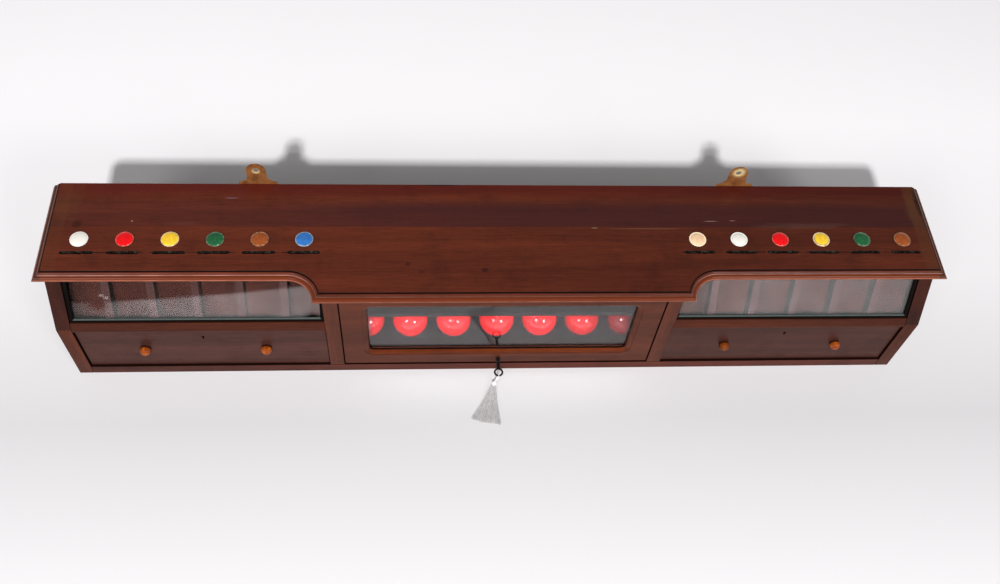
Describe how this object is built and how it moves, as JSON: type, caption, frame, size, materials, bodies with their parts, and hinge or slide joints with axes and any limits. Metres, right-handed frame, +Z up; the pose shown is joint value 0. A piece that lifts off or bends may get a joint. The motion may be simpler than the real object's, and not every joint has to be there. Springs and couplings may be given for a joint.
{
  "type": "billiard scoreboard",
  "caption": "Wall scoreboard for billiards: wooden case with slotted coin magazines over drawers, a glazed centre door with key and tassel, and a rack of red balls inside.",
  "frame": {"origin": "middle of the case on its underside", "axes": "+X along the width to the right seen from the front, +Y from the front to the back that goes against the wall, +Z up"},
  "size_m": [1.209, 0.2669, 0.255],
  "materials": {
    "polished_top": "polished",
    "case_wood": "polished",
    "door_wood": "polished",
    "drawer_wood": "polished",
    "inner_wood": "plain",
    "back_wood": "bare",
    "turned_wood": "polished",
    "black_bead": "painted black",
    "window_glass": "clear",
    "door_glass": "clear",
    "dark_shelf": "painted grey",
    "dark_brass": "tarnished",
    "hinge_brass": "worn",
    "lock_steel": "dull",
    "black_iron": "blackened",
    "red_ball": "polished",
    "tassel_silk": "silky",
    "white_disc": "glossy",
    "cream_disc": "glossy",
    "red_disc": "glossy",
    "yellow_disc": "glossy",
    "green_disc": "glossy",
    "brown_disc": "glossy",
    "blue_disc": "glossy"
  },
  "bodies": {
    "case": {"back_board": "back_wood", "ball_rack": "dark_shelf", "ball_shelf": "dark_shelf", "bottom_board": "case_wood", "left_blue_disc": "blue_disc", "left_brown_disc": "brown_disc", "left_coin_magazine": "inner_wood", "left_glass": "window_glass", "left_glazing_bead": "black_bead", "left_green_disc": "green_disc", "left_hanging_plate": "dark_brass", "left_hinge_case_leaf": "hinge_brass", "left_partition": "case_wood", "left_rail": "case_wood", "left_red_disc": "red_disc", "left_side": "case_wood", "left_white_disc": "white_disc", "left_yellow_disc": "yellow_disc", "red_ball_1": "red_ball", "red_ball_2": "red_ball", "red_ball_3": "red_ball", "red_ball_4": "red_ball", "red_ball_5": "red_ball", "red_ball_6": "red_ball", "red_ball_7": "red_ball", "right_brown_disc": "brown_disc", "right_coin_magazine": "inner_wood", "right_cream_disc": "cream_disc", "right_glass": "window_glass", "right_glazing_bead": "black_bead", "right_green_disc": "green_disc", "right_hanging_plate": "dark_brass", "right_hinge_case_leaf": "hinge_brass", "right_partition": "case_wood", "right_rail": "case_wood", "right_red_disc": "red_disc", "right_side": "case_wood", "right_white_disc": "white_disc", "right_yellow_disc": "yellow_disc", "top_board": "polished_top"},
    "door": {"door_frame": "door_wood", "door_glass": "door_glass", "door_lock": "lock_steel", "left_hinge_door_leaf": "hinge_brass", "right_hinge_door_leaf": "hinge_brass"},
    "door_bolt": {"door_bolt": "lock_steel"},
    "key": {"key": "black_iron"},
    "tassel": {"tassel": "tassel_silk"},
    "left_drawer": {"left_drawer_front": "drawer_wood", "left_drawer_box": "inner_wood", "left_drawer_inner_knob": "turned_wood", "left_drawer_outer_knob": "turned_wood", "left_drawer_lock": "lock_steel"},
    "left_drawer_bolt": {"left_drawer_bolt": "lock_steel"},
    "right_drawer": {"right_drawer_front": "drawer_wood", "right_drawer_box": "inner_wood", "right_drawer_inner_knob": "turned_wood", "right_drawer_outer_knob": "turned_wood", "right_drawer_lock": "lock_steel"},
    "right_drawer_bolt": {"right_drawer_bolt": "lock_steel"}
  },
  "joints": [
    {"name": "left_drawer_slide", "type": "slide", "parent": "case", "child": "left_drawer", "axis": [0, -1, 0], "range_m": [0, 0.11]},
    {"name": "left_drawer_bolt_slide", "type": "slide", "parent": "left_drawer", "child": "left_drawer_bolt", "axis": [0, 0, 1], "range_m": [0, 0.005]},
    {"name": "right_drawer_slide", "type": "slide", "parent": "case", "child": "right_drawer", "axis": [0, -1, 0], "range_m": [0, 0.11]},
    {"name": "right_drawer_bolt_slide", "type": "slide", "parent": "right_drawer", "child": "right_drawer_bolt", "axis": [0, 0, 1], "range_m": [0, 0.005]},
    {"name": "door_swing", "type": "hinge", "parent": "case", "child": "door", "pos_m": [0, -0.0877, 0.20525], "axis": [-1, 0, 0], "range_deg": [0, 95]},
    {"name": "key_turn", "type": "hinge", "parent": "door", "child": "key", "pos_m": [0, -0.0848, 0.0303], "axis": [0, 1, 0], "range_deg": [0, 90]},
    {"name": "door_bolt_slide", "type": "slide", "parent": "door", "child": "door_bolt", "axis": [0, 0, -1], "range_m": [0, 0.006]},
    {"name": "tassel_swing", "type": "hinge", "parent": "key", "child": "tassel", "pos_m": [0, -0.1143, 0.0303], "axis": [1, 0, 0], "range_deg": [-75, 45]}
  ],
  "couplings": [
    {"joint": "door_bolt_slide", "follows": "key_turn", "m_per_rad": 0.0038196}
  ]
}
